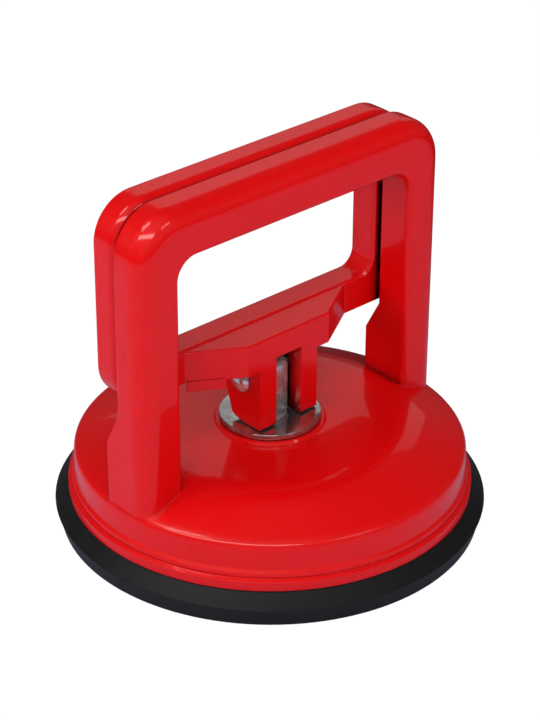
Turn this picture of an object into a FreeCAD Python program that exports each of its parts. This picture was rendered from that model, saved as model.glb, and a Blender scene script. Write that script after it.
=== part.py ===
"""Suction lifter for floor tiles: a hand tool with one rubber cup and a locking lever.

Frame: +Z up, origin on the floor under the middle of the cup, X along the two handles, Y to the
rear, where the lever opens. Lengths are millimetres. Every size sits once in the sheet SIZES, and
the outlines are written as formulas of those sizes, so a changed size moves all that belongs to it.
"""
import FreeCAD, Part
import math
import os
import re

import Sketcher

doc = FreeCAD.newDocument("suction_lifter")

# ---------------------------------------------------------------------------------------------
# Sizes
# ---------------------------------------------------------------------------------------------
SIZES = [
    # rubber cup: a thick disc with a sealing ring and a shallow hollow
    ("disc_radius", 59.0, "widest edge of the rubber disc"),
    ("disc_edge_height", 5.4, "height of that edge above the floor"),
    ("disc_undercut", 1.6, "lean of the side, inwards to the floor"),
    ("disc_edge_round", 0.7, "round of the widest edge"),
    ("disc_seat_height", 8.7, "height of the face under the housing rim"),
    ("disc_land_width", 6.0, "flat sealing ring on the floor"),
    ("disc_hollow", 2.6, "height of the hollow at the middle"),
    ("disc_web", 3.0, "rubber left over the hollow"),
    ("disc_trough_width", 4.0, "soft groove inside the seat"),
    ("disc_trough_depth", 1.4, "depth of that groove"),
    ("cup_wall", 4.0, "rubber wall round the insert plate"),
    # steel insert plate and its hub
    ("plate_radius", 36.0, "insert plate"),
    ("plate_thick", 2.5, "insert plate"),
    ("plate_hub_radius", 9.0, "threaded hub"),
    ("plate_hub_height", 2.8, "threaded hub over the plate"),
    # housing: rim, wall, crown and boss
    ("rim_radius", 55.0, "flange of the housing"),
    ("rim_thick", 2.6, "height of the flange"),
    ("rim_clear", 0.1, "gap from the flange to the rubber"),
    ("groove_depth", 1.2, "fine groove over the flange, inwards"),
    ("groove_rise", 0.5, "height of each slope in that groove"),
    ("bead_height", 1.0, "fine bead over the groove"),
    ("bead_proud", 0.8, "bead, out of the wall"),
    ("bead_slope", 0.7, "height of the slope over the bead"),
    ("wall_radius", 53.2, "wall of the housing"),
    ("wall_foot", 2.7, "wall at the flange, across"),
    ("shoulder_height", 21.4, "corner of wall and slope"),
    ("shoulder_round", 2.0, "round of that corner"),
    ("crown_radius", 38.0, "corner of slope and crown"),
    ("crown_height", 27.8, "top of the crown"),
    ("crown_round", 22.0, "round of that corner"),
    ("boss_radius", 14.7, "raised seat of the wear washer"),
    ("boss_height", 28.4, "top of that seat"),
    ("shell_thick", 3.0, "casting wall"),
    ("leg_sink", 6.0, "feet of the handle, below the shoulder"),
    ("hub_radius", 11.0, "inner hub round the bush"),
    ("hub_bottom", 17.0, "lower end of that hub"),
    ("rib_thick", 2.4, "stiffening ribs"),
    ("rib_count", 6.0, "stiffening ribs"),
    ("rib_bottom", 20.8, "lower edge of the ribs round the hub"),
    ("rib_drop", 4.0, "further drop of that edge at the wall"),
    ("rib_level_radius", 26.0, "level part of that edge"),
    # fixed handle, cast with the housing
    ("handle_half", 52.5, "half width over the legs"),
    ("handle_top", 105.5, "top of the handle"),
    ("handle_leg", 12.6, "leg, across"),
    ("handle_beam", 13.3, "beam, in height"),
    ("handle_depth", 10.6, "front to back"),
    ("handle_back", -0.2, "rear face, from the middle plane"),
    ("handle_corner", 13.0, "outer corner round"),
    ("window_corner", 6.0, "inner corner round"),
    ("front_round", 5.3, "round of the outer front edge"),
    ("grip_round", 1.5, "round of the inner front edge"),
    ("back_round", 0.7, "round of the rear edges"),
    ("flare_depth", 4.5, "legs widen this much to the rear"),
    ("flare_top", 48.4, "upper end of the slope"),
    ("flare_bottom", 39.5, "lower end of the slope"),
    # wear washer, bush, spring seat and spring
    ("washer_radius", 13.85, "steel wear washer"),
    ("washer_thick", 1.7, "steel wear washer"),
    ("washer_bore_clear", 0.4, "its hole round the shank"),
    ("bush_wall", 1.8, "guide bush"),
    ("bush_flange", 2.4, "flange beyond the sleeve"),
    ("bush_flange_thick", 1.2, "flange of the guide bush"),
    ("fit_clear", 0.05, "running fit, on the radius"),
    ("seat_thick", 1.0, "spring seat washer"),
    ("seat_radius", 17.0, "spring seat washer"),
    ("coil_radius", 14.0, "spring, middle of the wire"),
    ("coil_wire", 2.0, "spring wire"),
    ("coil_turns", 3.5, "turns of the spring"),
    ("coil_clear", 0.05, "gap from the coil to its seats"),
    # stem
    ("shank_radius", 4.8, "round part of the stem"),
    ("shank_below", 0.5, "shank top under the washer's face"),
    ("stem_foot_clear", 0.1, "stem foot over the rubber"),
    ("tang_thick", 6.0, "flat part, across"),
    ("tang_half", 3.7, "flat part, half its depth"),
    ("tang_round", 3.4, "round of its top"),
    ("nut_height", 3.6, "lock nut"),
    ("nut_across", 13.0, "lock nut over its flats"),
    # lever: ring, bar, nose and cam prongs
    ("lever_gap", 1.6, "gap from handle to lever"),
    ("ring_half", 50.7, "half width of the ring"),
    ("ring_top", 105.2, "top of the ring"),
    ("ring_bottom", 48.6, "underside of the bar"),
    ("ring_leg", 11.8, "side of the ring, across"),
    ("ring_beam", 12.8, "top of the ring, in height"),
    ("bar_height", 9.4, "bar of the ring, in height"),
    ("ring_depth", 8.9, "front to back"),
    ("ring_corner", 12.0, "upper outer corners"),
    ("ring_low_corner", 10.0, "lower outer corners"),
    ("ring_window_corner", 6.0, "upper inner corners"),
    ("ring_low_window_corner", 4.5, "lower inner corners"),
    ("ring_front_round", 2.8, "round of the outer front edge"),
    ("ring_inner_bevel", 0.8, "bevel of the inner front edge"),
    ("ring_back_round", 1.5, "round of the rear edges"),
    ("channel_depth", 6.4, "hollow in the front of the ring"),
    ("channel_wall", 3.2, "its outer wall"),
    ("channel_width", 6.6, "hollow, across the sides"),
    ("channel_height", 7.6, "hollow, across the top"),
    ("channel_bottom", 57.0, "lower end of the hollow, above the floor"),
    ("bar_root_half", 42.5, "half width of the bar's sharp lower edge"),
    ("nose_reach", 8.8, "nose, forwards from the ring"),
    ("nose_half", 14.3, "half width of its front"),
    ("nose_root_half", 28.6, "half width at the ring"),
    ("nose_drop", 0.5, "its top, under the bar's top"),
    ("nose_round", 0.5, "round of its edges"),
    ("prong_half", 10.2, "half width over both prongs"),
    ("slot_half", 4.4, "half width between the prongs"),
    ("slot_rise", 2.2, "slot above the bar's underside"),
    ("prong_lean", 0.309, "rear edge, slope outwards per unit of height"),
    ("pin_height", 43.4, "hinge pin above the floor"),
    ("cam_clear", 0.3, "cam over the wear washer"),
    ("cam_offset", 2.0, "centre of the cam's round, before the pin"),
    ("cam_angle", 24.0, "turn of the cam's round, degrees"),
    ("cam_flat", 0.6, "short flat behind the round"),
    ("lip_length", 10.2, "small lip under the nose"),
    ("lip_height", 2.4, "small lip"),
    ("lip_thick", 1.8, "small lip"),
    ("lip_proud", 0.5, "lip, before the nose's slanted side"),
    # hinge pin and its clip
    ("pin_radius", 2.0, "hinge pin"),
    ("pin_head_radius", 3.4, "its domed head"),
    ("pin_head", 2.2, "length of the head"),
    ("pin_head_round", 2.0, "round of the head"),
    ("pin_side_clear", 0.1, "head and clip, from the prongs"),
    ("pin_tail", 1.1, "pin beyond the clip"),
    ("clip_thick", 0.8, "retaining clip"),
    ("clip_radius", 3.8, "retaining clip"),
    ("clip_bite", 0.5, "depth of its groove"),
    ("clip_mouth", 2.6, "opening of the clip"),
]

sheet = doc.addObject("Spreadsheet::Sheet", "Sizes")
for row, (alias, size, note) in enumerate(SIZES, start=1):
    sheet.set("A%d" % row, note)
    sheet.set("B%d" % row, str(size))
    sheet.setAlias("B%d" % row, alias)
doc.recompute()


def formula(text):
    """Write the sheet's name before each size in a formula."""
    return re.sub(r"[a-z]+(?:_[a-z]+)+", lambda word: "Sizes." + word.group(), text)


def value(text):
    """Work a formula out as a plain number."""
    return float(sheet.evalExpression(formula(text)))


# Places that several pieces share, each one a formula of the sizes
RIM = "(disc_seat_height + rim_clear)"
WASHER_TOP = "(boss_height + washer_thick)"
PLATE_BOTTOM = "(disc_hollow + disc_web)"
PLATE_TOP = "(%s + plate_thick)" % PLATE_BOTTOM
HUB_TOP = "(%s + plate_hub_height)" % PLATE_TOP
WALL_INSIDE = "(wall_radius - wall_foot)"
HANDLE_FOOT = "(shoulder_height - leg_sink)"
HANDLE_FRONT = "(handle_back - handle_depth)"
LEVER_FRONT = "(handle_back + lever_gap)"
LEVER_BACK = "(%s + ring_depth)" % LEVER_FRONT
NOSE_FRONT = "(%s - nose_reach)" % LEVER_FRONT
BAR_TOP = "(ring_bottom + bar_height)"
CAM_LEVEL = "(%s + cam_clear)" % WASHER_TOP
CAM_RADIUS = "(pin_height - %s)" % CAM_LEVEL
BORE = "(shank_radius + fit_clear)"
SLEEVE = "(%s + bush_wall)" % BORE
CLIP_FACE = "(prong_half + pin_side_clear)"
CLIP_GROOVE = "(pin_radius - clip_bite)"


# ---------------------------------------------------------------------------------------------
# Sketches
# ---------------------------------------------------------------------------------------------
def origin_feature(body, role):
    return next(part for part in body.Origin.OriginFeatures if part.Role == role)


def new_sketch(body, name, plane, offset="0"):
    sketch = body.newObject("Sketcher::SketchObject", name)
    sketch.AttachmentSupport = [(origin_feature(body, plane), "")]
    sketch.MapMode = "FlatFace"
    sketch.setExpression(".AttachmentOffset.Base.z", formula(offset))
    return sketch


def tie(sketch, kind, where, text):
    """Add one dimension and bind it to its formula."""
    index = sketch.addConstraint(Sketcher.Constraint(kind, *where, value(text)))
    sketch.setExpression("Constraints[%d]" % index, formula(text))


def tie_point(sketch, geometry, end, corner):
    tie(sketch, "DistanceX", (-1, 1, geometry, end), corner[0])
    tie(sketch, "DistanceY", (-1, 1, geometry, end), corner[1])


def round_corner(before, corner, after, radius):
    """The two touching points, the centre and the sense of a round in one corner."""
    to_before = (before - corner).normalize()
    to_after = (after - corner).normalize()
    half = to_before.getAngle(to_after) / 2
    reach = radius / math.tan(half)
    centre = corner + (to_before + to_after).normalize() * (radius / math.sin(half))
    left_turn = to_before.cross(to_after).z < 0
    return corner + to_before * reach, corner + to_after * reach, centre, left_turn


def arc_between(centre, radius, start, end):
    circle = Part.Circle(centre, FreeCAD.Vector(0, 0, 1), radius)
    angles = [math.atan2(point.y - centre.y, point.x - centre.x) for point in (start, end)]
    return Part.ArcOfCircle(circle, angles[0], angles[1])


def outline(sketch, corners):
    """Draw a closed outline through corners (x, y) or (x, y, radius), all given as formulas."""
    points = [FreeCAD.Vector(value(corner[0]), value(corner[1]), 0) for corner in corners]
    count = len(corners)
    starts, ends, rounds = list(points), list(points), {}
    for index, corner in enumerate(corners):
        if len(corner) == 3:
            radius = value(corner[2])
            touch = round_corner(points[index - 1], points[index], points[(index + 1) % count], radius)
            ends[index], starts[index] = touch[0], touch[1]
            rounds[index] = (touch[2], radius, touch[3])
    lines = []
    for index in range(count):
        following = (index + 1) % count
        lines.append(sketch.addGeometry(Part.LineSegment(starts[index], ends[following]), False))
    for index, corner in enumerate(corners):
        arriving, leaving = lines[index - 1], lines[index]
        if index not in rounds:
            sketch.addConstraint(Sketcher.Constraint("Coincident", arriving, 2, leaving, 1))
            tie_point(sketch, leaving, 1, corner)
            continue
        centre, radius, left_turn = rounds[index]
        ways = (ends[index], starts[index]) if left_turn else (starts[index], ends[index])
        arc = sketch.addGeometry(arc_between(centre, radius, *ways), False)
        near, far = (1, 2) if left_turn else (2, 1)
        mark = sketch.addGeometry(Part.Point(points[index]), True)
        sketch.addConstraint(Sketcher.Constraint("Tangent", arriving, 2, arc, near))
        sketch.addConstraint(Sketcher.Constraint("Tangent", arc, far, leaving, 1))
        sketch.addConstraint(Sketcher.Constraint("PointOnObject", mark, 1, arriving))
        sketch.addConstraint(Sketcher.Constraint("PointOnObject", mark, 1, leaving))
        tie_point(sketch, mark, 1, corner)
        tie(sketch, "Radius", (arc,), corner[2])


def circle(sketch, x, y, radius):
    centre = FreeCAD.Vector(value(x), value(y), 0)
    round_line = Part.Circle(centre, FreeCAD.Vector(0, 0, 1), value(radius))
    index = sketch.addGeometry(round_line, False)
    tie_point(sketch, index, 3, (x, y))
    tie(sketch, "Radius", (index,), radius)


# ---------------------------------------------------------------------------------------------
# Features
# ---------------------------------------------------------------------------------------------
def finish(body, feature):
    body.Tip = feature
    doc.recompute()
    return feature


def extrude(body, kind, name, sketch, length, reverse=False, both_ways=False):
    """A Pad or a Pocket of a sketch, one way or both ways alike."""
    before = body.Shape.Volume if kind == "Pocket" else 0
    feature = body.newObject("PartDesign::" + kind, name)
    feature.Profile = sketch
    feature.setExpression("Length", formula(length))
    feature.SideType = "Symmetric" if both_ways else "One side"
    feature.Reversed = reverse
    finish(body, feature)
    if kind == "Pocket" and feature.Shape.Volume > before - 1e-6:
        raise RuntimeError(name + " cuts nothing")
    return feature


def turn(body, kind, name, sketch, axis="V_Axis"):
    """A Revolution or a Groove once round an axis of the sketch."""
    before = body.Shape.Volume if kind == "Groove" else 0
    feature = body.newObject("PartDesign::" + kind, name)
    feature.Profile = sketch
    feature.ReferenceAxis = (sketch, [axis])
    feature.Angle = 360
    finish(body, feature)
    if kind == "Groove" and feature.Shape.Volume > before - 1e-6:
        raise RuntimeError(name + " cuts nothing")
    return feature


def soften(body, kind, name, size, wanted):
    """A Fillet or a Chamfer of the edges that a test picks."""
    base = body.Tip
    names = ["Edge%d" % (i + 1) for i, edge in enumerate(base.Shape.Edges) if wanted(edge)]
    if not names:
        raise RuntimeError(name + " finds no edge")
    feature = body.newObject("PartDesign::" + kind, name)
    feature.Base = (base, names)
    feature.setExpression("Radius" if kind == "Fillet" else "Size", formula(size))
    return finish(body, feature)


def repeat(body, kind, name, original, **settings):
    feature = body.newObject("PartDesign::" + kind, name)
    feature.Originals = [original]
    for key, setting in settings.items():
        setattr(feature, key, setting)
    return finish(body, feature)


def level(edge, axis, place):
    """Whether an edge lies in the plane where the axis has this value."""
    box = edge.BoundBox
    low, high = getattr(box, axis + "Min"), getattr(box, axis + "Max")
    return abs(low - place) < 0.01 and abs(high - place) < 0.01


def middle(edge):
    return edge.valueAt((edge.FirstParameter + edge.LastParameter) / 2)


def new_body(name):
    return doc.addObject("PartDesign::Body", name)


def turned_piece(name, corners):
    """A piece turned round the Z axis from its half outline."""
    body = new_body(name)
    sketch = new_sketch(body, name + "_profile", "XZ_Plane")
    outline(sketch, corners)
    turn(body, "Revolution", name + "_turned", sketch)
    return body


# ---------------------------------------------------------------------------------------------
# Housing: a die-cast dome with the fixed handle in one piece
# ---------------------------------------------------------------------------------------------
def add_handle(body):
    """An inverted U with a wide round along its outer front edge."""
    inner = "(handle_half - handle_leg)"
    under = "(handle_top - handle_beam)"
    sketch = new_sketch(body, "handle_outline", "XZ_Plane", "-handle_back")
    outline(sketch, [
        ("-handle_half", HANDLE_FOOT),
        ("-handle_half", "handle_top", "handle_corner"),
        ("handle_half", "handle_top", "handle_corner"),
        ("handle_half", HANDLE_FOOT),
        (inner, HANDLE_FOOT),
        (inner, under, "window_corner"),
        ("-" + inner, under, "window_corner"),
        ("-" + inner, HANDLE_FOOT),
    ])
    extrude(body, "Pad", "handle", sketch, "handle_depth")
    front, back = value(HANDLE_FRONT), value("handle_back")
    mid_leg = value("handle_half - handle_leg / 2")
    mid_beam = value("handle_top - handle_beam / 2")
    ground = value(HANDLE_FOOT)

    def on_outside(edge):
        point = middle(edge)
        return abs(point.x) > mid_leg or point.z > mid_beam

    def above_foot(edge):
        return edge.BoundBox.ZMax > ground + 1

    soften(body, "Fillet", "handle_front_round", "front_round",
           lambda edge: level(edge, "Y", front) and above_foot(edge) and on_outside(edge))
    soften(body, "Fillet", "handle_inner_round", "grip_round",
           lambda edge: level(edge, "Y", front) and above_foot(edge) and not on_outside(edge))
    soften(body, "Fillet", "handle_back_round", "back_round",
           lambda edge: level(edge, "Y", back) and above_foot(edge))


def add_flares(body):
    """The legs widen to the rear over a slope and run down deep into the dome."""
    middle_depth = "(handle_back - handle_depth / 2)"
    sketch = new_sketch(body, "flare_outline", "YZ_Plane", "handle_half - handle_leg")
    outline(sketch, [
        (middle_depth, HANDLE_FOOT),
        ("handle_back + flare_depth", HANDLE_FOOT),
        ("handle_back + flare_depth", "flare_bottom"),
        ("handle_back - back_round", "flare_top + back_round"),
        (middle_depth, "flare_top + back_round"),
    ])
    right = extrude(body, "Pad", "flare_right", sketch, "handle_leg")
    plane = (origin_feature(body, "YZ_Plane"), [""])
    repeat(body, "Mirrored", "flare_left", right, MirrorPlane=plane)


def add_dome(body):
    """The outside of the dome, solid at first."""
    groove = "(%s + rim_thick)" % RIM
    bead = "(%s + 2 * groove_rise)" % groove
    bead_radius = "(wall_radius + bead_proud)"
    sketch = new_sketch(body, "dome_outline", "XZ_Plane")
    outline(sketch, [
        ("0", RIM),
        ("rim_radius", RIM),
        ("rim_radius", groove),
        ("rim_radius - groove_depth", groove + " + groove_rise"),
        (bead_radius, bead),
        (bead_radius, bead + " + bead_height"),
        ("wall_radius", bead + " + bead_height + bead_slope"),
        ("wall_radius", "shoulder_height", "shoulder_round"),
        ("crown_radius", "crown_height", "crown_round"),
        ("boss_radius + boss_height - crown_height", "crown_height"),
        ("boss_radius", "boss_height"),
        ("0", "boss_height"),
    ])
    turn(body, "Revolution", "dome", sketch)


def hollow_dome(body):
    """The hollow under the dome, with a hub left round the bush."""
    ceiling = "(crown_height - shell_thick)"
    shoulder = "(shoulder_height - shell_thick)"
    sketch = new_sketch(body, "hollow_outline", "XZ_Plane")
    outline(sketch, [
        ("0", RIM + " - shell_thick"),
        (WALL_INSIDE, RIM + " - shell_thick"),
        (WALL_INSIDE, RIM + " + rim_thick"),
        ("wall_radius - shell_thick", shoulder, "shoulder_round / 2"),
        ("crown_radius - shell_thick / 4", ceiling, "crown_round / 2"),
        ("hub_radius", ceiling),
        ("hub_radius", "hub_bottom"),
        ("0", "hub_bottom"),
    ])
    turn(body, "Groove", "hollow", sketch)


def add_ribs(body):
    """Stiffening ribs under the crown, level round the hub where the spring seat lies."""
    inside = "(wall_radius - shell_thick / 2)"
    low = "(rib_bottom - rib_drop)"
    buried = "shell_thick / 2"
    sketch = new_sketch(body, "rib_outline", "XZ_Plane")
    outline(sketch, [
        ("hub_radius - shell_thick / 2", "rib_bottom"),
        ("rib_level_radius", "rib_bottom"),
        (inside, low),
        (inside, "shoulder_height - 2 * shell_thick"),
        ("wall_radius - shell_thick", "shoulder_height - " + buried),
        ("crown_radius", "crown_height - " + buried),
        ("hub_radius - shell_thick / 2", "crown_height - " + buried),
    ])
    first = extrude(body, "Pad", "rib", sketch, "rib_thick", both_ways=True)
    repeat(body, "PolarPattern", "ribs", first, Angle=360, Occurrences=round(value("rib_count")),
           Axis=(origin_feature(body, "Z_Axis"), [""]))


def make_housing():
    body = new_body("housing")
    add_handle(body)
    add_flares(body)
    add_dome(body)
    hollow_dome(body)
    add_ribs(body)
    bore = new_sketch(body, "bush_bore", "XY_Plane", "hub_bottom - shell_thick")
    circle(bore, "0", "0", SLEEVE + " + fit_clear")
    extrude(body, "Pocket", "bush_hole", bore, "crown_height", reverse=True)
    return body


# ---------------------------------------------------------------------------------------------
# Small turned pieces on the axis
# ---------------------------------------------------------------------------------------------
def make_washer():
    bore = "(shank_radius + washer_bore_clear)"
    edge = "washer_thick / 4"
    return turned_piece("wear_washer", [
        (bore, "boss_height"),
        ("washer_radius", "boss_height"),
        ("washer_radius", WASHER_TOP, edge),
        (bore, WASHER_TOP),
    ])


def make_bush():
    """A flanged sleeve, pushed into the hub from below."""
    flange = "(%s + bush_flange)" % SLEEVE
    return turned_piece("guide_bush", [
        (BORE, "hub_bottom - bush_flange_thick"),
        (flange, "hub_bottom - bush_flange_thick"),
        (flange, "hub_bottom"),
        (SLEEVE, "hub_bottom"),
        (SLEEVE, "boss_height"),
        (BORE, "boss_height"),
    ])


def make_spring_seat():
    return turned_piece("spring_seat", [
        ("hub_radius + fit_clear", "rib_bottom - seat_thick"),
        ("seat_radius", "rib_bottom - seat_thick"),
        ("seat_radius", "rib_bottom"),
        ("hub_radius + fit_clear", "rib_bottom"),
    ])


def make_plate():
    """The steel insert that carries the rubber, with a threaded hub."""
    return turned_piece("insert_plate", [
        (BORE, PLATE_BOTTOM),
        ("plate_radius", PLATE_BOTTOM),
        ("plate_radius", PLATE_TOP),
        ("plate_hub_radius", PLATE_TOP, "plate_thick / 3"),
        ("plate_hub_radius", HUB_TOP),
        (BORE, HUB_TOP),
    ])


def make_disc():
    """The rubber cup: leaning side, sealing ring on the floor, hollow middle."""
    foot = "(disc_radius - disc_undercut)"
    cup = "(plate_radius + fit_clear)"
    trough = "(disc_seat_height - disc_trough_depth)"
    return turned_piece("rubber_disc", [
        ("0", "disc_hollow"),
        ("plate_hub_radius", "disc_hollow"),
        (foot + " - disc_land_width", "0"),
        (foot, "0"),
        ("disc_radius", "disc_edge_height", "disc_edge_round"),
        ("rim_radius + rim_clear", "disc_seat_height", "disc_edge_round"),
        (WALL_INSIDE, "disc_seat_height"),
        (WALL_INSIDE + " - disc_trough_width", trough, "disc_trough_depth"),
        (cup + " + cup_wall", trough),
        (cup + " + cup_wall", PLATE_TOP),
        (cup, PLATE_TOP),
        (cup, PLATE_BOTTOM),
        ("0", PLATE_BOTTOM),
    ])


# ---------------------------------------------------------------------------------------------
# Stem, lock nut and spring
# ---------------------------------------------------------------------------------------------
def make_stem():
    """A round shank through the bush, flattened above the washer to go between the prongs."""
    body = new_body("stem")
    shank_top = "(%s - shank_below)" % WASHER_TOP
    profile = new_sketch(body, "shank_profile", "XZ_Plane")
    outline(profile, [
        ("0", PLATE_BOTTOM + " + stem_foot_clear"),
        ("shank_radius", PLATE_BOTTOM + " + stem_foot_clear"),
        ("shank_radius", shank_top, "shank_below / 2"),
        ("0", shank_top),
    ])
    turn(body, "Revolution", "shank", profile)
    side = new_sketch(body, "tang_side", "YZ_Plane")
    outline(side, [
        ("-tang_half", shank_top + " - shank_below"),
        ("tang_half", shank_top + " - shank_below"),
        ("tang_half", "pin_height + tang_half", "tang_round"),
        ("-tang_half", "pin_height + tang_half", "tang_round"),
    ])
    extrude(body, "Pad", "tang", side, "tang_thick", both_ways=True)
    hole = new_sketch(body, "stem_hole_outline", "YZ_Plane")
    circle(hole, "0", "pin_height", "pin_radius + fit_clear")
    extrude(body, "Pocket", "stem_hole", hole, "2 * shank_radius + 2 * tang_thick", both_ways=True)
    return body


def make_nut():
    """A thin hexagon nut that locks the stem in the plate's hub."""
    body = new_body("stem_nut")
    radius = "(nut_across / 2 / cos(30))"
    hexagon = new_sketch(body, "nut_outline", "XY_Plane", HUB_TOP)
    outline(hexagon, [("%s * cos(%d)" % (radius, turn_by), "%s * sin(%d)" % (radius, turn_by))
                      for turn_by in range(0, 360, 60)])
    extrude(body, "Pad", "nut_block", hexagon, "nut_height")
    hole = new_sketch(body, "nut_hole_outline", "XY_Plane", HUB_TOP)
    circle(hole, "0", "0", BORE)
    extrude(body, "Pocket", "nut_hole", hole, "nut_height", reverse=True)
    return body


def make_spring():
    """The release spring between the plate and the seat under the ribs."""
    low = "(%s + coil_wire / 2 + coil_clear)" % PLATE_TOP
    high = "(rib_bottom - seat_thick - coil_wire / 2 - coil_clear)"
    helix = doc.addObject("Part::Helix", "spring_path")
    helix.setExpression("Radius", formula("coil_radius"))
    helix.setExpression("Height", formula("%s - %s" % (high, low)))
    helix.setExpression("Pitch", formula("(%s - %s) / coil_turns" % (high, low)))
    helix.setExpression("Placement.Base.z", formula(low))
    wire = doc.addObject("Part::Circle", "spring_wire")
    wire.setExpression("Radius", formula("coil_wire / 2"))
    wire.Placement.Rotation = FreeCAD.Rotation(FreeCAD.Vector(1, 0, 0), 90)
    wire.setExpression("Placement.Base.x", formula("coil_radius"))
    wire.setExpression("Placement.Base.z", formula(low))
    doc.recompute()
    coil = doc.addObject("Part::Sweep", "spring")
    coil.Sections = [wire]
    coil.Spine = (helix, ["Edge%d" % (i + 1) for i in range(len(helix.Shape.Edges))])
    coil.Solid = True
    coil.Frenet = True
    doc.recompute()
    return coil


# ---------------------------------------------------------------------------------------------
# Lever: a ring behind the handle, a nose between its legs and two cam prongs
# ---------------------------------------------------------------------------------------------
def add_ring(body):
    inner = "(ring_half - ring_leg)"
    under = "(ring_top - ring_beam)"
    sketch = new_sketch(body, "ring_outline", "XZ_Plane", "-" + LEVER_FRONT)
    outline(sketch, [
        ("-ring_half", "ring_bottom", "ring_low_corner"),
        ("-ring_half", "ring_top", "ring_corner"),
        ("ring_half", "ring_top", "ring_corner"),
        ("ring_half", "ring_bottom", "ring_low_corner"),
    ])
    outline(sketch, [
        ("-" + inner, BAR_TOP, "ring_low_window_corner"),
        ("-" + inner, under, "ring_window_corner"),
        (inner, under, "ring_window_corner"),
        (inner, BAR_TOP, "ring_low_window_corner"),
    ])
    extrude(body, "Pad", "ring", sketch, "ring_depth", reverse=True)
    front, back = value(LEVER_FRONT), value(LEVER_BACK)
    mid_side = value("ring_half - ring_leg / 2")
    mid_beam = value("ring_top - ring_beam / 2")
    mid_bar = value("ring_bottom + bar_height / 2")

    def on_outside(edge):
        point = middle(edge)
        return abs(point.x) > mid_side or point.z > mid_beam or point.z < mid_bar

    soften(body, "Fillet", "ring_front_rounds", "ring_front_round",
           lambda edge: level(edge, "Y", front) and on_outside(edge))
    soften(body, "Chamfer", "ring_window_bevel", "ring_inner_bevel",
           lambda edge: level(edge, "Y", front) and not on_outside(edge))
    soften(body, "Fillet", "ring_back_rounds", "ring_back_round",
           lambda edge: level(edge, "Y", back))


def hollow_ring(body):
    """A channel open to the front, up both sides of the ring and along its top."""
    inner = "(ring_half - channel_wall - channel_width)"
    under = "(ring_top - channel_wall - channel_height)"
    sketch = new_sketch(body, "channel_outline", "XZ_Plane", "-" + LEVER_FRONT)
    outline(sketch, [
        ("-ring_half + channel_wall", "channel_bottom"),
        ("-ring_half + channel_wall", "ring_top - channel_wall", "ring_corner - channel_wall"),
        ("ring_half - channel_wall", "ring_top - channel_wall", "ring_corner - channel_wall"),
        ("ring_half - channel_wall", "channel_bottom"),
        (inner, "channel_bottom"),
        (inner, under, "ring_window_corner + ring_inner_bevel"),
        ("-" + inner, under, "ring_window_corner + ring_inner_bevel"),
        ("-" + inner, "channel_bottom"),
    ])
    extrude(body, "Pocket", "channel", sketch, "channel_depth")


def add_nose(body):
    """A tapered nose on the bar, its root as wide as the bar's sharp lower edge."""
    root = "(%s + ring_front_round + ring_inner_bevel)" % LEVER_FRONT
    sketch = new_sketch(body, "nose_outline", "XY_Plane", "ring_bottom")
    outline(sketch, [
        ("-bar_root_half", root),
        ("-bar_root_half", LEVER_FRONT),
        ("-nose_root_half", LEVER_FRONT),
        ("-nose_half", NOSE_FRONT),
        ("nose_half", NOSE_FRONT),
        ("nose_root_half", LEVER_FRONT),
        ("bar_root_half", LEVER_FRONT),
        ("bar_root_half", root),
    ])
    extrude(body, "Pad", "nose", sketch, "bar_height - nose_drop")
    top, front = value(BAR_TOP + " - nose_drop"), value(LEVER_FRONT)
    soften(body, "Fillet", "nose_rounds", "nose_round",
           lambda edge: level(edge, "Z", top) and edge.BoundBox.YMin < front - 0.1)


def add_lip(body):
    """A short bare lip under the nose's left slanted side."""
    run = "(nose_root_half - nose_half)"
    slant = "sqrt(nose_reach * nose_reach + %s * %s)" % (run, run)
    along_x, along_y = "(%s / %s)" % (run, slant), "(-nose_reach / %s)" % slant

    def place(distance, depth):
        """A point on the slanted side, this far from the ring and this deep behind it."""
        x = "-nose_root_half + %s * (%s) - %s * (%s)" % (along_x, distance, along_y, depth)
        y = "%s + %s * (%s) + %s * (%s)" % (LEVER_FRONT, along_y, distance, along_x, depth)
        return x, y

    deep = "lip_thick - lip_proud"
    sketch = new_sketch(body, "lip_outline", "XY_Plane", "ring_bottom - lip_height")
    outline(sketch, [
        place("nose_round", "-lip_proud"),
        place("nose_round + lip_length", "-lip_proud"),
        place("nose_round + lip_length", deep),
        place("nose_round", deep),
    ])
    extrude(body, "Pad", "lip", sketch, "lip_height + nose_round")


def add_prongs(body):
    """Two prongs whose undersides are the cam: flat at rest, then round, then a leaning back."""
    reach = "(%s * tan(cam_angle / 2))" % CAM_RADIUS
    cam_y = "(%s - cam_offset)" % reach
    end_y = "(%s + cos(cam_angle) * (%s + cam_flat))" % (cam_y, reach)
    end_z = "(%s + sin(cam_angle) * (%s + cam_flat))" % (CAM_LEVEL, reach)
    roof = "(ring_bottom + bar_height / 4)"
    sketch = new_sketch(body, "prong_side", "YZ_Plane")
    outline(sketch, [
        (NOSE_FRONT, CAM_LEVEL, "nose_round"),
        (cam_y, CAM_LEVEL, CAM_RADIUS),
        (end_y, end_z),
        ("%s + prong_lean * (%s - %s)" % (end_y, roof, end_z), roof),
        (NOSE_FRONT, roof),
    ])
    extrude(body, "Pad", "prong_block", sketch, "2 * prong_half", both_ways=True)


def cut_slot(body):
    """The slot that parts the prongs and clears the stem's rounded top."""
    ahead = "(%s - prong_half)" % NOSE_FRONT
    behind = "(%s + prong_half)" % LEVER_BACK
    below = "(%s - prong_half)" % CAM_LEVEL
    sketch = new_sketch(body, "slot_side", "YZ_Plane")
    outline(sketch, [
        (ahead, below),
        (behind, below),
        (behind, "ring_bottom"),
        (LEVER_FRONT, "ring_bottom"),
        (LEVER_FRONT, "ring_bottom + slot_rise"),
        (ahead, "ring_bottom + slot_rise"),
    ])
    extrude(body, "Pocket", "slot", sketch, "2 * slot_half", both_ways=True)


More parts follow.
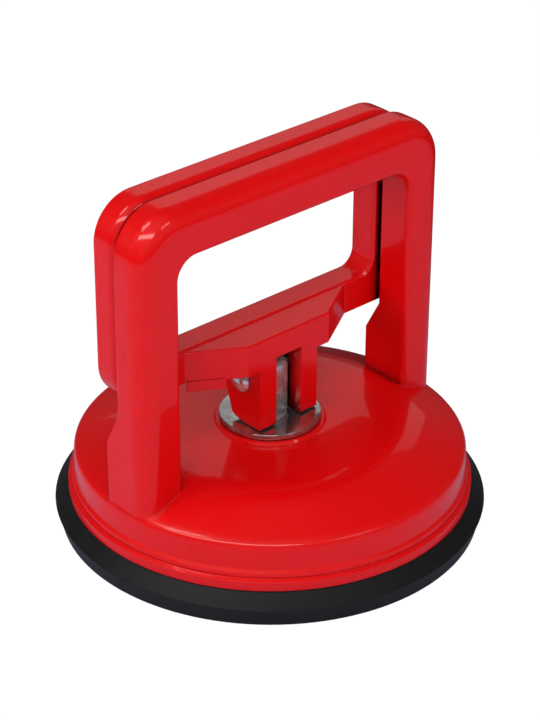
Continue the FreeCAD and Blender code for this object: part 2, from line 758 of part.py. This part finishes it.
def make_lever():
    body = new_body("lever")
    add_ring(body)
    hollow_ring(body)
    add_nose(body)
    add_lip(body)
    add_prongs(body)
    cut_slot(body)
    hole = new_sketch(body, "lever_hole_outline", "YZ_Plane")
    circle(hole, "0", "pin_height", "pin_radius + fit_clear")
    extrude(body, "Pocket", "lever_hole", hole, "4 * prong_half", both_ways=True)
    return body


# ---------------------------------------------------------------------------------------------
# Hinge pin and retaining clip
# ---------------------------------------------------------------------------------------------
def make_pin():
    """A round pin with a domed head on the left and a groove for the clip on the right."""
    body = new_body("hinge_pin")
    groove_end = "(%s + clip_thick + fit_clear)" % CLIP_FACE
    groove_start = "(%s - fit_clear)" % CLIP_FACE
    tail = "(%s + pin_tail)" % groove_end
    sketch = new_sketch(body, "pin_profile", "XY_Plane", "pin_height")
    outline(sketch, [
        ("-%s - pin_head" % CLIP_FACE, "0"),
        ("-%s - pin_head" % CLIP_FACE, "pin_head_radius", "pin_head_round"),
        ("-" + CLIP_FACE, "pin_head_radius"),
        ("-" + CLIP_FACE, "pin_radius"),
        (groove_start, "pin_radius"),
        (groove_start, CLIP_GROOVE),
        (groove_end, CLIP_GROOVE),
        (groove_end, "pin_radius"),
        (tail, "pin_radius", "pin_tail / 2"),
        (tail, "0"),
    ])
    turn(body, "Revolution", "pin_turned", sketch, axis="H_Axis")
    return body


def make_clip():
    """A flat C-shaped clip in the pin's groove, its mouth down."""
    body = new_body("pin_clip")
    face = new_sketch(body, "clip_face", "YZ_Plane", CLIP_FACE)
    circle(face, "0", "pin_height", "clip_radius")
    circle(face, "0", "pin_height", CLIP_GROOVE + " + fit_clear")
    extrude(body, "Pad", "clip_ring", face, "clip_thick")
    mouth = new_sketch(body, "clip_mouth_outline", "YZ_Plane", CLIP_FACE)
    outline(mouth, [
        ("-clip_mouth / 2", "pin_height - 2 * clip_radius"),
        ("clip_mouth / 2", "pin_height - 2 * clip_radius"),
        ("clip_mouth / 2", "pin_height"),
        ("-clip_mouth / 2", "pin_height"),
    ])
    extrude(body, "Pocket", "clip_opening", mouth, "clip_thick", reverse=True)
    return body


# ---------------------------------------------------------------------------------------------
# Build, check and write
# ---------------------------------------------------------------------------------------------
pieces = [
    make_housing(),
    make_washer(),
    make_bush(),
    make_spring_seat(),
    make_spring(),
    make_plate(),
    make_disc(),
    make_stem(),
    make_nut(),
    make_lever(),
    make_pin(),
    make_clip(),
]
doc.recompute()

for item in doc.Objects:
    if "Invalid" in item.State or "Error" in item.State:
        raise RuntimeError("%s failed: %s" % (item.Label, item.State))
for piece in pieces:
    if piece.Shape.isNull() or not piece.Shape.isValid() or len(piece.Shape.Solids) != 1:
        raise RuntimeError(piece.Label + " is not one valid solid")

os.makedirs("parts", exist_ok=True)
for piece in pieces:
    piece.Shape.exportStep("parts/%s.step" % piece.Label)
    box = piece.Shape.optimalBoundingBox(False)
    print("%-14s %8.0f mm3  x %6.1f..%6.1f  y %6.1f..%6.1f  z %6.1f..%6.1f" % (
        piece.Label, piece.Shape.Volume, box.XMin, box.XMax, box.YMin, box.YMax, box.ZMin, box.ZMax))
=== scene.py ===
# %% [markdown]
# # A suction lifter for floor tiles
# The tool is held in one hand. A rubber cup sits under a red die-cast dome, a fixed handle grows out
# of the dome, and behind it stands a ring-shaped lever. Two prongs under the lever press on a steel
# washer and pull the middle of the cup up, which makes the suction. The construction model brings
# every solid at its real size, in metres. Here each surface gets its finish, and the small parts
# that a construction model keeps plain are modelled again with soft edges.

# %% Load the frame
import math

import bpy
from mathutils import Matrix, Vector


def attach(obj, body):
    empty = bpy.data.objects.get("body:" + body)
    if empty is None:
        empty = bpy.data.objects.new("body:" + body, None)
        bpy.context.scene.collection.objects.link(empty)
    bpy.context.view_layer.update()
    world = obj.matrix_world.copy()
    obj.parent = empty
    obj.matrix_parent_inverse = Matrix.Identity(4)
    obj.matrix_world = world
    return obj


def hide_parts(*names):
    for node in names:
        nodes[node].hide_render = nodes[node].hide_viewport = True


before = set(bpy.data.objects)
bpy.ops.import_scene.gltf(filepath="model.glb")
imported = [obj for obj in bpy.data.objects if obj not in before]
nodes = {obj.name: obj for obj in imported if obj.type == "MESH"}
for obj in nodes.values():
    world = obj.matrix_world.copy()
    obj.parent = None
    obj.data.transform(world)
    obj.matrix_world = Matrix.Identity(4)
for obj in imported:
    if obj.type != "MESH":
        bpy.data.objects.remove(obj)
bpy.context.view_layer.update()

MM = 0.001

# %% [markdown]
# ## Camera
# The view is from above and from the front left, at the angle from which the nose of the lever, the
# hinge pin and the side of the dome all show. A long lens at a good distance keeps the handles
# nearly parallel. It could be aimed with a constraint, but a plain position and turn are easier to
# read and stay as they are in other views.

# %% Camera
AZIMUTH, ELEVATION = math.radians(-41.82), math.radians(29.44)
towards_camera = Vector((math.sin(AZIMUTH) * math.cos(ELEVATION),
                         -math.cos(AZIMUTH) * math.cos(ELEVATION),
                         math.sin(ELEVATION)))
camera_data = bpy.data.cameras.new("camera")
camera_data.lens = 120.0
camera_data.shift_x, camera_data.shift_y = 0.0232, -0.0028
camera_data.clip_start, camera_data.clip_end = 0.01, 20.0
camera = bpy.data.objects.new("camera", camera_data)
bpy.context.scene.collection.objects.link(camera)
camera.location = Vector((-374.9, -412.25, 360.43)) * MM
camera.rotation_mode = "QUATERNION"
camera.rotation_quaternion = (-towards_camera).to_track_quat("-Z", "Y")
bpy.context.scene.camera = camera
print("camera: %.0f mm lens, %.2f m away" % (camera_data.lens, camera.location.length))

# %% [markdown]
# ## Turned pieces
# The cup, the washer and the pin are all round, so one helper turns them, as on a lathe. A plane is
# merged to a single point, the point is extruded along half the outline, and Spin carries it round
# the axis. A screw modifier would do the same, but the operators leave a plain mesh at once. A
# bevel of a few tenths of a millimetre then breaks every sharp corner, because a real edge always
# catches a thin line of light.

# %% Lathe helper
made = {}  # construction node: the new piece that takes its place


def start_point(point):
    """A mesh of one vertex, in edit mode."""
    bpy.ops.object.select_all(action="DESELECT")
    bpy.ops.mesh.primitive_plane_add(size=MM, location=(0, 0, 0))
    bpy.ops.object.mode_set(mode="EDIT")
    bpy.ops.mesh.select_all(action="SELECT")
    bpy.ops.mesh.merge(type="CENTER")
    bpy.ops.transform.translate(value=point)
    return bpy.context.object


def soften_edges(piece, width, angle=25):
    """Break the edges that turn by more than this angle, and smooth the rest."""
    bevel = piece.modifiers.new("edges", "BEVEL")
    bevel.width, bevel.segments = width * MM, 3
    bevel.limit_method, bevel.angle_limit = "ANGLE", math.radians(angle)
    bpy.ops.object.modifier_apply(modifier=bevel.name)
    bpy.ops.object.shade_smooth_by_angle(angle=math.radians(40))


def hand_over(piece, name, body, node):
    """Name a new piece and let it take a construction solid's place."""
    piece.name = piece.data.name = name
    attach(piece, body)
    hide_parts(node)
    made[node] = piece
    print(name, "has", len(piece.data.polygons), "faces, in place of", node)


def turned(outline, edge, axis="Z", steps=128):
    """Turn a closed half outline of (radius, place along the axis), in millimetres."""
    def place(radius, along):
        return Vector((radius, 0, along) if axis == "Z" else (along, 0, radius)) * MM

    points = [place(*corner) for corner in outline]
    piece = start_point(points[0])
    for before, after in zip(points, points[1:] + points[:1]):
        bpy.ops.mesh.extrude_region_move(TRANSFORM_OT_translate={"value": after - before})
    bpy.ops.mesh.select_all(action="SELECT")
    bpy.ops.mesh.remove_doubles(threshold=0.0001 * MM)
    bpy.ops.mesh.spin(steps=steps, angle=math.tau, center=(0, 0, 0),
                      axis=(0, 0, 1) if axis == "Z" else (1, 0, 0))
    bpy.ops.mesh.select_all(action="SELECT")
    bpy.ops.mesh.remove_doubles(threshold=0.001 * MM)
    bpy.ops.mesh.delete_loose()
    bpy.ops.mesh.select_all(action="SELECT")
    bpy.ops.mesh.normals_make_consistent(inside=False)
    bpy.ops.object.mode_set(mode="OBJECT")
    soften_edges(piece, edge)
    return piece


print("lathe ready")

# %% [markdown]
# ## Rubber cup
# The cup is moulded, so its corners are round and the two halves of the mould leave a fine line where
# the side is widest. The side leans in towards the floor, and the sealing ring under it is narrow.

# %% Rubber cup
cup = turned([
    (0, 2.6), (9, 2.6), (30, 1.9), (51.4, 0), (57.3, 0), (58.55, 4.9), (58.75, 5.0), (58.75, 5.25),
    (58.5, 5.4), (55.1, 8.65), (50.5, 8.65), (48.6, 7.5), (46.5, 7.25), (40.05, 7.25), (40.05, 8.1),
    (36.1, 8.1), (36.1, 5.55), (0, 5.55),
], edge=0.25)
hand_over(cup, "moulded_cup", "pad", "rubber_disc")

# %% [markdown]
# ## Wear washer
# The washer is punched from sheet. Punching rounds one edge of the hole and the rim, and the other
# side keeps a short land. The cams ride on its top.

# %% Wear washer
washer = turned([
    (5.2, 28.42), (13.6, 28.42), (13.82, 28.7), (13.82, 29.9), (13.7, 30.08), (5.5, 30.08), (5.2, 29.8),
], edge=0.12)
hand_over(washer, "punched_washer", "housing", "wear_washer")

# %% [markdown]
# ## Hinge pin
# The pin's head is upset in a die: a low dome with a short straight rim. The dome is an arc of a
# sphere, worked out from its height and its radius. At the other end lie the groove for the clip
# and a chamfer that helps the pin through its holes.

# %% Hinge pin
PIN_HEIGHT, PIN_RADIUS = 43.4, 1.98
HEAD_RADIUS, HEAD_END, HEAD_FOOT, HEAD_DOME = 3.38, -12.48, -10.3, 1.5
dome_radius = (HEAD_RADIUS ** 2 + HEAD_DOME ** 2) / (2 * HEAD_DOME)
spread = math.asin(HEAD_RADIUS / dome_radius)
dome = [(dome_radius * math.sin(spread * step / 6),
         HEAD_END + dome_radius * (1 - math.cos(spread * step / 6))) for step in range(7)]
pin = turned(dome + [
    (HEAD_RADIUS, HEAD_FOOT), (PIN_RADIUS, HEAD_FOOT), (PIN_RADIUS, 10.25), (1.5, 10.25),
    (1.5, 11.15), (PIN_RADIUS, 11.15), (PIN_RADIUS, 11.9), (1.6, 12.2), (0, 12.2),
], axis="X", steps=64, edge=0.1)
bpy.ops.transform.translate(value=(0, 0, PIN_HEIGHT * MM))
bpy.ops.object.transform_apply(location=True)
hand_over(pin, "headed_pin", "lever", "hinge_pin")

# %% [markdown]
# ## Stem
# The stem is turned, and its top is milled flat on two sides so that it slips between the prongs. A
# cube makes the flat part: its top edges are bevelled far round, and a cylinder bores the hole for
# the pin. The shank is one more turned piece, joined to it.

# %% Stem
TANG_HALF, TANG_TOP, TANG_ROUND = Vector((3.0, 3.7, 9.0)), 47.1, 3.3
BORE_RADIUS = 2.05
shank = turned([
    (0, 5.7), (4.5, 5.7), (4.78, 6.0), (4.78, 29.2), (4.4, 29.6), (0, 29.6),
], steps=64, edge=0.1)
bpy.ops.object.select_all(action="DESELECT")
bpy.ops.mesh.primitive_cylinder_add(vertices=48, radius=BORE_RADIUS * MM, depth=20 * MM,
                                    location=(0, 0, PIN_HEIGHT * MM), rotation=(0, math.pi / 2, 0))
bore = bpy.context.object
bpy.ops.object.select_all(action="DESELECT")
bpy.ops.mesh.primitive_cube_add(size=2 * MM, location=(0, 0, (TANG_TOP - TANG_HALF.z) * MM),
                                scale=TANG_HALF)
tang = bpy.context.object
bpy.ops.object.transform_apply(location=True, rotation=True, scale=True)
bpy.ops.object.mode_set(mode="EDIT")
bpy.ops.mesh.select_mode(type="EDGE")
bpy.ops.mesh.select_all(action="DESELECT")
bpy.ops.object.mode_set(mode="OBJECT")
for edge in tang.data.edges:
    ends = [tang.data.vertices[index].co for index in edge.vertices]
    at_top = min(end.z for end in ends) > (TANG_TOP - 1) * MM
    edge.select = at_top and abs(ends[0].x - ends[1].x) > MM
bpy.ops.object.mode_set(mode="EDIT")
bpy.ops.mesh.bevel(offset=TANG_ROUND * MM, segments=8)
bpy.ops.object.mode_set(mode="OBJECT")
cut = tang.modifiers.new("bore", "BOOLEAN")
cut.operation, cut.object, cut.solver = "DIFFERENCE", bore, "EXACT"
bpy.ops.object.modifier_apply(modifier=cut.name)
bpy.data.objects.remove(bore)
soften_edges(tang, 0.2, angle=50)
shank.select_set(True)
bpy.ops.object.join()
hand_over(tang, "milled_stem", "pad", "stem")

# %% [markdown]
# ## Shader maths
# A finish is a small sum of masks: noise here, edges there. Written as nodes, each sum is a pile of
# Math boxes. The class below wraps one output socket and lets Python's own signs add those boxes, so
# a finish reads like a formula. Colours don't go through it, because a Math node turns them grey.

# %% A socket that can be added and multiplied


class Value:
    """One output socket of a material; arithmetic on it adds Math nodes."""

    def __init__(self, tree, socket):
        self.tree, self.socket = tree, socket

    def node(self, kind, settings=None, **inputs):
        """Add a node: its settings, then its sockets by name, or by number after an underscore."""
        added = self.tree.nodes.new("ShaderNode" + kind)
        for key, setting in (settings or {}).items():
            setattr(added, key, setting)
        for key, given in inputs.items():
            socket = added.inputs[int(key[1:]) if key[0] == "_" else key.replace("_", " ")]
            if isinstance(given, Value):
                self.tree.links.new(given.socket, socket)
            else:
                socket.default_value = given
        return added

    def maths(self, operation, *terms):
        terms = {"_%d" % index: term for index, term in enumerate(terms)}
        return Value(self.tree, self.node("Math", {"operation": operation}, **terms).outputs[0])

    def __add__(self, other):
        return self.maths("ADD", self, other)

    def __sub__(self, other):
        return self.maths("SUBTRACT", self, other)

    def __rsub__(self, other):
        return self.maths("SUBTRACT", other, self)

    def __mul__(self, other):
        return self.maths("MULTIPLY", self, other)

    __radd__, __rmul__ = __add__, __mul__

    def clamp(self):
        return Value(self.tree, self.node("Clamp", Value=self).outputs[0])

    def step(self, low, high):
        """0 below low, 1 above high, smooth between."""
        mapped = self.node("MapRange", {"interpolation_type": "SMOOTHSTEP"},
                           Value=self, From_Min=low, From_Max=high)
        return Value(self.tree, mapped.outputs[0])


print("shader values ready")

# %% [markdown]
# ## What every finish starts from
# A pattern has to stay on its piece when the lever moves, and it has to survive the export. Object
# coordinates do both: every piece sits at the origin, so they are real metres on it. The second
# helper finds sharp edges. The Bevel node bends the normal near an edge, and where the bent normal
# leaves the true one there is an edge. It works on the loose triangles of a construction solid,
# where vertex-based wear masks find nothing. A third finds narrow gaps, where little light gets in.

# %% Helpers for materials


class Finish:
    """A new material with a Principled shader, and the patterns that the finishes share."""

    def __init__(self, name, **constants):
        self.material = bpy.data.materials.new(name)
        self.material.use_nodes = True
        self.tree = self.material.node_tree
        self.shader = self.tree.nodes["Principled BSDF"]
        for key, constant in constants.items():
            self.shader.inputs[key.replace("_", " ")].default_value = constant
        self.start = Value(self.tree, None)
        self.place = Value(self.tree, self.start.node("TexCoord").outputs["Object"])

    def moved(self, scale=(1, 1, 1), turn=(0, 0, 0)):
        """The object's coordinates, turned or stretched."""
        mapping = self.start.node("Mapping", Vector=self.place, Rotation=turn, Scale=scale)
        return Value(self.tree, mapping.outputs[0])

    def noise(self, size, detail=3.0, roughness=0.5, place=None):
        """Noise whose lumps are about this many millimetres."""
        noise = self.start.node("TexNoise", Vector=place or self.place, Scale=1 / (size * MM),
                                Detail=detail, Roughness=roughness)
        return Value(self.tree, noise.outputs[0])

    def speckle(self, size):
        """The distance to the nearest of scattered points about this many millimetres apart."""
        cells = self.start.node("TexVoronoi", Vector=self.place, Scale=1 / (size * MM))
        return Value(self.tree, cells.outputs["Distance"])

    def part(self, axis, place=None):
        """One coordinate, in millimetres."""
        parts = self.start.node("SeparateXYZ", Vector=place or self.place)
        return Value(self.tree, parts.outputs["XYZ".index(axis)]) * (1 / MM)

    def round_edges(self, radius):
        """The normal with every edge rounded by this many millimetres, as a node."""
        bevel = self.start.node("Bevel", {"samples": 8}, Radius=radius * MM)
        return Value(self.tree, bevel.outputs[0])

    def blend(self, amount, first, second):
        """A normal between two normals."""
        blend = self.start.node("Mix", {"data_type": "VECTOR"}, _0=amount, _4=first, _5=second)
        return Value(self.tree, blend.outputs[1])

    def edge_mask(self, normal):
        """How far a rounded normal leaves the true one: 0 on faces, up to 1 on edges."""
        true = self.start.node("NewGeometry")
        dot = self.start.node("VectorMath", {"operation": "DOT_PRODUCT"},
                              _0=normal, _1=Value(self.tree, true.outputs["Normal"]))
        return (1 - Value(self.tree, dot.outputs["Value"])).step(0.01, 0.25)

    def hollow(self, reach):
        """How far a place is closed in within this many millimetres: 0 open, 1 closed."""
        openness = self.start.node("AmbientOcclusion", {"samples": 8}, Distance=reach * MM)
        return 1 - Value(self.tree, openness.outputs["AO"])

    def mix(self, amount, first, second):
        """A colour between two colours."""
        mix = self.start.node("Mix", {"data_type": "RGBA"}, _0=amount, _6=first, _7=second)
        return Value(self.tree, mix.outputs[2])

    def bump(self, height, depth, normal=None):
        """A normal raised by a height of 0 to 1, this many millimetres deep."""
        inputs = {"Height": height, "Distance": depth * MM, "Strength": 1.0}
        if normal:
            inputs["Normal"] = normal
        return Value(self.tree, self.start.node("Bump", **inputs).outputs[0])

    def feed(self, **inputs):
        """Link values to the shader's sockets."""
        for key, given in inputs.items():
            self.tree.links.new(given.socket, self.shader.inputs[key.replace("_", " ")])


def colour(red, green, blue):
    """A screen colour, 0 to 255, as the linear colour that a shader takes."""
    parts = [part / 255 for part in (red, green, blue)]
    linear = [p / 12.92 if p <= 0.04045 else ((p + 0.055) / 1.055) ** 2.4 for p in parts]
    return (*linear, 1.0)


def dress(finish, *names):
    """Give pieces this finish: construction solids, or new pieces of the same name."""
    for name in names:
        piece = made.get(name) or nodes[name]
        piece.data.materials.clear()
        piece.data.materials.append(finish.material)
    print("dressed", ", ".join(names), "with", finish.material.name)


print("finish helpers ready")

# %% [markdown]
# ## Red enamel
# The dome and the handle are one aluminium casting, and the lever is a second one. Both are sprayed
# with gloss enamel. On the real part that means a deep red body, a clear hard skin over it, a faint
# orange peel, and paint that pulls thin along the sharp edges. A base layer with a coat over it
# gives the two reflections: a soft one from the pigment and a crisp one from the skin. The rounded
# edge catches light as a thin bright line, and a few nibs of dust stand under the skin. Two things
# are not in the enamel. Narrow gaps get a painted shade: the colour turns near black where little
# light gets in. And the shoulder of the dome turns more slowly than its solid, so there the normals
# are bent over a wider band.

# %% Red enamel
SHOULDER_ROUND = 3.2
RIM_FROM, RIM_FULL = 46, 49
BAND_FROM, BAND_FULL, BAND_FADES, BAND_ENDS = 17, 18.5, 24, 28
GAP_SHADE_REACH, GAP_SHADE_FROM, GAP_SHADE_FULL = 9.0, 0.38, 0.72
PEEL_DEPTH = 0.006


def enamel(name, peel_size, edge_radius, shoulder=False):
    finish = Finish(name, Metallic=0.0, IOR=1.5, Coat_Weight=0.45, Coat_Roughness=0.04,
                    Coat_IOR=1.5, Specular_IOR_Level=0.1)
    rounded = finish.round_edges(edge_radius)
    edges = finish.edge_mask(rounded)
    if shoulder:
        x, y, z = (finish.part(axis) for axis in "XYZ")
        rim = (x * x + y * y).step(RIM_FROM ** 2, RIM_FULL ** 2)
        band = z.step(BAND_FROM, BAND_FULL) * (1 - z.step(BAND_FADES, BAND_ENDS))
        rounded = finish.blend(rim * band, rounded, finish.round_edges(SHOULDER_ROUND))
    clouds = finish.noise(22, detail=2.0)
    peel = finish.noise(peel_size, detail=1.0)
    grain = finish.noise(0.35, detail=2.0)
    dust = 1 - finish.speckle(5.5).step(0.02, 0.05)
    body = finish.mix(clouds, colour(206, 4, 7), colour(211, 5, 9))
    body = finish.mix(edges * 0.2, body, colour(236, 40, 44))
    # Painted shade: in narrow gaps, where little light gets in, the colour turns to a near-black red.
    body = finish.mix(finish.hollow(GAP_SHADE_REACH).step(GAP_SHADE_FROM, GAP_SHADE_FULL), body, colour(40, 0, 1))
    finish.feed(
        Base_Color=body,
        Roughness=0.22 + 0.08 * clouds + 0.05 * grain + 0.1 * edges,
        Normal=finish.bump(peel + 0.05 * grain + 0.4 * dust, PEEL_DEPTH, rounded),
    )
    return finish


dress(enamel("red_enamel", 2.6, 0.7, shoulder=True), "housing")
dress(enamel("lever_enamel", 2.2, 0.5), "lever")

# %% [markdown]
# ## Black rubber
# The cup is moulded in black rubber. Fresh rubber isn't glossy: it has a fine matt grain from the
# mould and a faint grey bloom. Its colour stays very dark and only the roughness varies.

# %% Black rubber
rubber = Finish("black_rubber", Metallic=0.0, IOR=1.5, Specular_IOR_Level=0.13)
bloom = rubber.noise(9, detail=4.0)
mould_grain = rubber.noise(0.25, detail=3.0)
rubber_edges = rubber.round_edges(0.4)
rubber.feed(
    Base_Color=rubber.mix(bloom, colour(17, 17, 18), colour(25, 25, 26)),
    Roughness=0.38 + 0.16 * bloom + 0.06 * mould_grain,
    Normal=rubber.bump(mould_grain, 0.03, rubber_edges),
)
dress(rubber, "rubber_disc")

# %% [markdown]
# ## Bare metals
# The small parts are steel, and each is finished another way: a tumbled zinc-plated washer, a
# milled stem, a bright nickel pin, a black clip and an oiled spring. The bush alone is bronze. They
# share one recipe with fine scratches in one direction, cloudy roughness and a soft edge. Only the
# colours and amounts change.

# %% Bare metals
METAL_EDGE, SCRATCH_SIZE, SCRATCH_DEPTH = 0.15, 0.4, 0.006


def metal(name, dark, light, rough, streak=(1, 1, 1), metallic=1.0):
    finish = Finish(name, Metallic=metallic)
    rounded = finish.round_edges(METAL_EDGE)
    clouds = finish.noise(3.5, detail=4.0, roughness=0.6)
    streaks = finish.noise(SCRATCH_SIZE, detail=3.0, place=finish.moved(scale=streak))
    edges = finish.edge_mask(rounded)
    shade = (0.65 * clouds + 0.35 * streaks + 0.3 * edges).step(0.3, 0.75)
    finish.feed(
        Base_Color=finish.mix(shade, dark, light),
        Roughness=(rough + 0.16 * (clouds - 0.5) + 0.14 * (streaks - 0.5)).clamp(),
        Normal=finish.bump(streaks, SCRATCH_DEPTH, rounded),
    )
    return finish


dress(metal("tumbled_zinc", colour(150, 147, 144), colour(214, 213, 212), 0.14, (1, 0.3, 1), metallic=0.95),
      "wear_washer")
dress(metal("milled_steel", colour(160, 160, 162), colour(236, 236, 236), 0.22, (1, 1, 0.06), metallic=0.8),
      "stem")
dress(metal("bright_nickel", colour(186, 184, 182), colour(232, 230, 228), 0.14, (0.1, 1, 1), metallic=0.8),
      "hinge_pin")
dress(metal("black_clip", colour(46, 46, 50), colour(82, 82, 88), 0.38), "pin_clip")
dress(metal("zinc_plate", colour(150, 152, 158), colour(202, 204, 208), 0.34),
      "insert_plate", "spring_seat", "stem_nut")
dress(metal("oiled_wire", colour(70, 70, 74), colour(120, 120, 124), 0.36), "spring")
dress(metal("sintered_bronze", colour(140, 104, 58), colour(190, 150, 92), 0.4), "guide_bush")

# %% [markdown]
# ## Floor
# A gloss part shows what stands round it, so what the floor is to the eye and what it is in a
# reflection are set apart. To the camera the sheet glows white and keeps the shadow. In a reflection
# it is a dull grey, and it turns dark beyond the part, so that the faces that mirror that side stay
# deep red. A real studio does the same with grey and black boards.

# %% Floor
FLOOR_SIZE = 6.0
FLOOR_WHITE, FLOOR_GLOW, GLOW_SHARE = 0.85, 1.08, 0.9
BOARD_GREY, BOARD_BLACK = (0.48, 0.47, 0.66, 1), (0.03, 0.03, 0.03, 1)
BEHIND_TURN, BEHIND_FROM, BEHIND_FULL = math.radians(-48), 40, 160


def seen_white(finish):
    """Show the camera a white sheet with the shadow on it, and reflections a grey and black one."""
    tree, start = finish.tree, finish.start

    def output(node):
        return Value(tree, node.outputs[0])

    path = start.node("LightPath")
    to_camera = Value(tree, path.outputs["Is Camera Ray"])
    to_gloss = Value(tree, path.outputs["Is Glossy Ray"])
    behind = finish.part("X", finish.moved(turn=(0, 0, BEHIND_TURN))).step(BEHIND_FROM, BEHIND_FULL)
    grey = start.node("BsdfDiffuse", Color=BOARD_GREY)
    black = start.node("BsdfDiffuse", Color=BOARD_BLACK)
    glow = start.node("Emission", Color=(1, 1, 1, 1), Strength=FLOOR_GLOW)
    shader = output(finish.shader)
    layers = (to_gloss * 1.0, grey), (to_gloss * behind, black), (to_camera * GLOW_SHARE, glow)
    for amount, layer in layers:
        shader = output(start.node("MixShader", _0=amount, _1=shader, _2=output(layer)))
    tree.links.new(shader.socket, tree.nodes["Material Output"].inputs[0])


floor_finish = Finish("floor_white", Roughness=0.6, Specular_IOR_Level=0.2)
pale = (FLOOR_WHITE, FLOOR_WHITE, FLOOR_WHITE, 1)
floor_finish.feed(Base_Color=floor_finish.mix(floor_finish.noise(400, detail=1.0), pale,
                                              tuple(part * 0.99 for part in pale)))
seen_white(floor_finish)
bpy.ops.object.select_all(action="DESELECT")
bpy.ops.mesh.primitive_plane_add(size=FLOOR_SIZE, location=(0, 0, -0.0002))
floor = bpy.context.object
floor.name = "floor"
floor.data.materials.append(floor_finish.material)
print("floor ready,", FLOOR_SIZE, "m wide")

# %% [markdown]
# ## Lamps
# The large soft lamps stand close and light the part from the front and the left, but no face
# mirrors them. The cards do the opposite: they show only in reflections, as the streaks on the
# handle's corner and the dome's shoulder. A card's brightness is what is seen, so its power follows
# from its area. Lamps that do both would be simpler, but each large one whitens the flat faces. The
# world is dark grey, and white to the camera alone.

# %% Lamps and world
NEAR = 0.46
LAMP_DISTANCE, LAMP_AIM, CARD_AIM = 1.2, (0, 0, 0.085), (0, 0, 0.05)
WORLD_GREY = 0.1


def softbox(name, power, size, place, aim):
    light = bpy.data.lights.new(name, "AREA")
    light.shape, light.size, light.size_y = "RECTANGLE", size[0], size[1]
    light.energy = power
    lamp = bpy.data.objects.new(name, light)
    bpy.context.scene.collection.objects.link(lamp)
    lamp.location = place
    lamp.rotation_mode = "QUATERNION"
    lamp.rotation_quaternion = (Vector(aim) - Vector(place)).to_track_quat("-Z", "Y")
    return lamp


def around(azimuth, elevation, distance):
    """A place round the object: azimuth 0 is in front, 90 to the right."""
    a, e = math.radians(azimuth), math.radians(elevation)
    return (distance * math.sin(a) * math.cos(e), -distance * math.cos(a) * math.cos(e),
            distance * math.sin(e) + 0.05)


for name, power, size, azimuth, elevation in (
    ("front_left_wall", 5.4, (1.2, 0.6), -52, 26),
    ("back_left_wall", 6.6, (0.7, 0.6), -118, 28),
    ("front_wall", 4.3, (1.0, 0.6), 10, 26),
    ("top_box", 6.6, (1.0, 0.8), -40, 72),
    ("right_box", 0.9, (0.6, 0.6), 60, 20),
):
    lamp = softbox(name, power * NEAR ** 2, (size[0] * NEAR, size[1] * NEAR),
                   around(azimuth, elevation, LAMP_DISTANCE * NEAR), LAMP_AIM)
    lamp.visible_glossy = lamp.visible_camera = False

for name, radiance, size, azimuth, elevation, distance in (
    ("back_gloss", 0.46, (1.3, 0.6), 138, 27, 1.4),
    ("left_strip", 10.0, (1.5, 0.22), -66, 47, 1.2),
    ("front_strip", 5.0, (0.4, 0.16), 12, 45, 1.2),
    ("shoulder_card", 8.0, (0.3, 0.42), -128, 62, 1.2),
):
    power = radiance * math.pi * size[0] * size[1]
    card = softbox(name, power, size, around(azimuth, elevation, distance), CARD_AIM)
    card.visible_diffuse = False

world = bpy.data.worlds.new("studio")
bpy.context.scene.world = world
world.use_nodes = True
sky = Value(world.node_tree, None)
seen = Value(world.node_tree, sky.node("LightPath").outputs["Is Camera Ray"])
shade = seen * (1 - WORLD_GREY) + WORLD_GREY
world.node_tree.links.new(shade.socket, world.node_tree.nodes["Background"].inputs["Color"])
bpy.context.scene.view_settings.view_transform = "Standard"
print("lamps and world ready")

# %% [markdown]
# ## Finish

# %% Finish
print("scene built")
